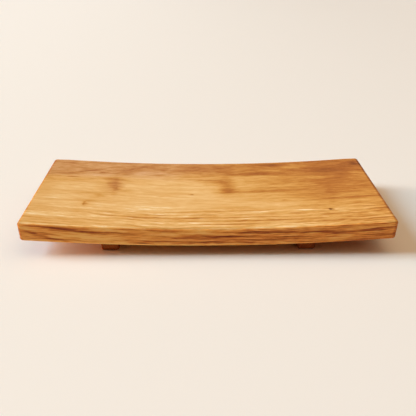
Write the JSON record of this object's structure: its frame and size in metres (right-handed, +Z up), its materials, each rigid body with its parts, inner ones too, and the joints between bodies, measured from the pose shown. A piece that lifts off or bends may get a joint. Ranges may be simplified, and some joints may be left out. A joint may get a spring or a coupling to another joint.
{
  "type": "footed serving board",
  "caption": "Rectangular wooden serving board with a shallow lengthwise hollow, raised on cross runners that are screwed on from below.",
  "frame": {"origin": "on the table, under the middle of the board", "axes": "+X along the board's length, front long edge on the -Y side, +Z up"},
  "size_m": [0.45, 0.182, 0.0483],
  "materials": {
    "oak_board": "oiled, satin",
    "oak_runner": "oiled, satin",
    "screw_steel": "zinc plated"
  },
  "bodies": {
    "root": {"board": "oak_board", "left_runner": "oak_runner", "right_runner": "oak_runner", "left_screw_front": "screw_steel", "left_screw_middle": "screw_steel", "left_screw_rear": "screw_steel", "right_screw_front": "screw_steel", "right_screw_middle": "screw_steel", "right_screw_rear": "screw_steel"}
  },
  "joints": []
}
